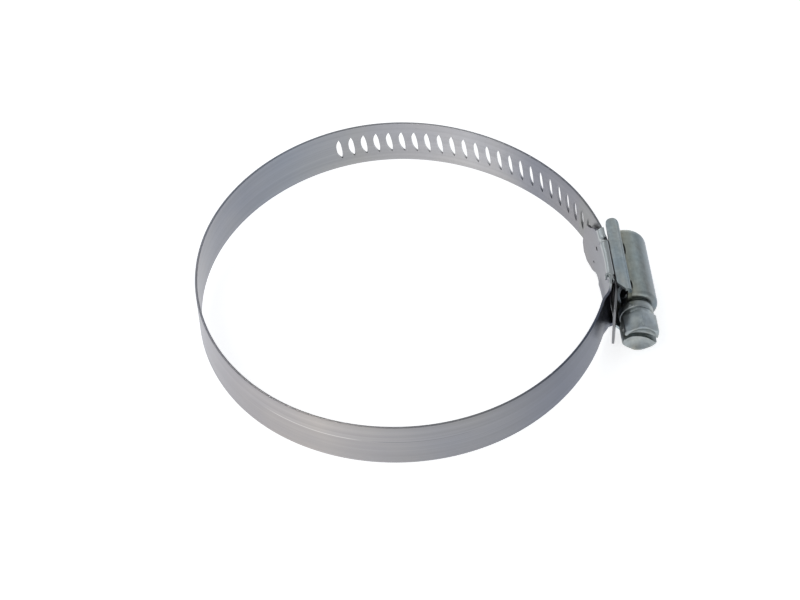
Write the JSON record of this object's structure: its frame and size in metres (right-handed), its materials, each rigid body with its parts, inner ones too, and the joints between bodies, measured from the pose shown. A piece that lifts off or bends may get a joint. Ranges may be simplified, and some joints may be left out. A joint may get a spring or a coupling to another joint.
{
  "type": "hose clamp",
  "caption": "Worm-drive hose clamp: a slotted steel band closes into a ring through a stamped housing, and a hex-head worm screw pulls its free end to tighten it.",
  "frame": {"origin": "on the ring's axis (the hose's axis), at the middle of the band's width", "axes": "+Z along the hose; +X towards the housing; the screw lies parallel to Y with its hex head towards -Y"},
  "size_m": [0.1077, 0.0957, 0.0169],
  "materials": {
    "band": "satin stainless",
    "housing": "zinc plated",
    "screw": "zinc plated"
  },
  "bodies": {
    "housing_unit": {"housing": "housing", "band_fixed_end": "band"},
    "screw": {"worm_screw": "screw"},
    "tail": {"band_tail": "band"},
    "link_01": {"band_link_01": "band"},
    "link_02": {"band_link_02": "band"},
    "link_03": {"band_link_03": "band"},
    "link_04": {"band_link_04": "band"},
    "link_05": {"band_link_05": "band"},
    "link_06": {"band_link_06": "band"},
    "link_07": {"band_link_07": "band"},
    "link_08": {"band_link_08": "band"},
    "link_09": {"band_link_09": "band"},
    "link_10": {"band_link_10": "band"},
    "link_11": {"band_link_11": "band"},
    "link_12": {"band_link_12": "band"},
    "link_13": {"band_link_13": "band"},
    "link_14": {"band_link_14": "band"},
    "link_15": {"band_link_15": "band"},
    "link_16": {"band_link_16": "band"},
    "link_17": {"band_link_17": "band"},
    "link_18": {"band_link_18": "band"},
    "link_19": {"band_link_19": "band"},
    "link_20": {"band_link_20": "band"},
    "link_21": {"band_link_21": "band"}
  },
  "joints": [
    {"name": "screw_turn", "type": "hinge", "parent": "housing_unit", "child": "screw", "pos_m": [0.05375, -0.005, 0], "axis": [0, 1, 0], "range_deg": [-810, 2160]},
    {"name": "tail_feed", "type": "hinge", "parent": "housing_unit", "child": "tail", "pos_m": [-0.00455, -0.00467, 0], "axis": [0, 0, 1], "range_deg": [-25.1, 9.43]},
    {"name": "band_bend_01", "type": "hinge", "parent": "housing_unit", "child": "link_01", "pos_m": [-0.00666, -0.00561, 0], "axis": [0, 0, 1], "range_deg": [-24.08, 9.04]},
    {"name": "band_bend_02", "type": "hinge", "parent": "housing_unit", "child": "link_02", "pos_m": [-0.00858, -0.00705, 0], "axis": [0, 0, 1], "range_deg": [-23.09, 8.67]},
    {"name": "band_bend_03", "type": "hinge", "parent": "housing_unit", "child": "link_03", "pos_m": [-0.01022, -0.00895, 0], "axis": [0, 0, 1], "range_deg": [-22.14, 8.32]},
    {"name": "band_bend_04", "type": "hinge", "parent": "housing_unit", "child": "link_04", "pos_m": [-0.01148, -0.01127, 0], "axis": [0, 0, 1], "range_deg": [-21.21, 7.96]},
    {"name": "band_bend_05", "type": "hinge", "parent": "housing_unit", "child": "link_05", "pos_m": [-0.0123, -0.01396, 0], "axis": [0, 0, 1], "range_deg": [-20.28, 7.62]},
    {"name": "band_bend_06", "type": "hinge", "parent": "housing_unit", "child": "link_06", "pos_m": [-0.0126, -0.01694, 0], "axis": [0, 0, 1], "range_deg": [-19.34, 7.26]},
    {"name": "band_bend_07", "type": "hinge", "parent": "housing_unit", "child": "link_07", "pos_m": [-0.01228, -0.02015, 0], "axis": [0, 0, 1], "range_deg": [-18.37, 6.9]},
    {"name": "band_bend_08", "type": "hinge", "parent": "housing_unit", "child": "link_08", "pos_m": [-0.01129, -0.02349, 0], "axis": [0, 0, 1], "range_deg": [-17.37, 6.53]},
    {"name": "band_bend_09", "type": "hinge", "parent": "housing_unit", "child": "link_09", "pos_m": [-0.00955, -0.02684, 0], "axis": [0, 0, 1], "range_deg": [-16.32, 6.13]},
    {"name": "band_bend_10", "type": "hinge", "parent": "housing_unit", "child": "link_10", "pos_m": [-0.00701, -0.03006, 0], "axis": [0, 0, 1], "range_deg": [-15.22, 5.72]},
    {"name": "band_bend_11", "type": "hinge", "parent": "housing_unit", "child": "link_11", "pos_m": [-0.00366, -0.03298, 0], "axis": [0, 0, 1], "range_deg": [-14.07, 5.29]},
    {"name": "band_bend_12", "type": "hinge", "parent": "housing_unit", "child": "link_12", "pos_m": [0.00049, -0.0354, 0], "axis": [0, 0, 1], "range_deg": [-12.86, 4.83]},
    {"name": "band_bend_13", "type": "hinge", "parent": "housing_unit", "child": "link_13", "pos_m": [0.00533, -0.03713, 0], "axis": [0, 0, 1], "range_deg": [-11.6, 4.36]},
    {"name": "band_bend_14", "type": "hinge", "parent": "housing_unit", "child": "link_14", "pos_m": [0.01074, -0.03801, 0], "axis": [0, 0, 1], "range_deg": [-10.3, 3.88]},
    {"name": "band_bend_15", "type": "hinge", "parent": "housing_unit", "child": "link_15", "pos_m": [0.0165, -0.03789, 0], "axis": [0, 0, 1], "range_deg": [-8.98, 3.38]},
    {"name": "band_bend_16", "type": "hinge", "parent": "housing_unit", "child": "link_16", "pos_m": [0.02239, -0.03671, 0], "axis": [0, 0, 1], "range_deg": [-7.64, 2.88]},
    {"name": "band_bend_17", "type": "hinge", "parent": "housing_unit", "child": "link_17", "pos_m": [0.02815, -0.03446, 0], "axis": [0, 0, 1], "range_deg": [-6.3, 2.37]},
    {"name": "band_bend_18", "type": "hinge", "parent": "housing_unit", "child": "link_18", "pos_m": [0.03354, -0.03117, 0], "axis": [0, 0, 1], "range_deg": [-4.97, 1.88]},
    {"name": "band_bend_19", "type": "hinge", "parent": "housing_unit", "child": "link_19", "pos_m": [0.03831, -0.02699, 0], "axis": [0, 0, 1], "range_deg": [-3.67, 1.39]},
    {"name": "band_bend_20", "type": "hinge", "parent": "housing_unit", "child": "link_20", "pos_m": [0.04227, -0.02216, 0], "axis": [0, 0, 1], "range_deg": [-2.41, 0.92]},
    {"name": "band_bend_21", "type": "hinge", "parent": "housing_unit", "child": "link_21", "pos_m": [0.04512, -0.01723, 0], "axis": [0, 0, 1], "range_deg": [-1.19, 0.46]}
  ],
  "couplings": [
    {"joint": "tail_feed", "follows": "screw_turn", "ratio": -0.009289},
    {"joint": "band_bend_01", "follows": "screw_turn", "ratio": -0.0089102},
    {"joint": "band_bend_02", "follows": "screw_turn", "ratio": -0.0085462},
    {"joint": "band_bend_03", "follows": "screw_turn", "ratio": -0.0081932},
    {"joint": "band_bend_04", "follows": "screw_turn", "ratio": -0.007847},
    {"joint": "band_bend_05", "follows": "screw_turn", "ratio": -0.0075025},
    {"joint": "band_bend_06", "follows": "screw_turn", "ratio": -0.0071542},
    {"joint": "band_bend_07", "follows": "screw_turn", "ratio": -0.0067967},
    {"joint": "band_bend_08", "follows": "screw_turn", "ratio": -0.0064257},
    {"joint": "band_bend_09", "follows": "screw_turn", "ratio": -0.0060376},
    {"joint": "band_bend_10", "follows": "screw_turn", "ratio": -0.0056303},
    {"joint": "band_bend_11", "follows": "screw_turn", "ratio": -0.0052026},
    {"joint": "band_bend_12", "follows": "screw_turn", "ratio": -0.0047551},
    {"joint": "band_bend_13", "follows": "screw_turn", "ratio": -0.0042895},
    {"joint": "band_bend_14", "follows": "screw_turn", "ratio": -0.0038091},
    {"joint": "band_bend_15", "follows": "screw_turn", "ratio": -0.0033182},
    {"joint": "band_bend_16", "follows": "screw_turn", "ratio": -0.0028218},
    {"joint": "band_bend_17", "follows": "screw_turn", "ratio": -0.0023251},
    {"joint": "band_bend_18", "follows": "screw_turn", "ratio": -0.0018334},
    {"joint": "band_bend_19", "follows": "screw_turn", "ratio": -0.0013515},
    {"joint": "band_bend_20", "follows": "screw_turn", "ratio": -0.00088383},
    {"joint": "band_bend_21", "follows": "screw_turn", "ratio": -0.00043341}
  ]
}
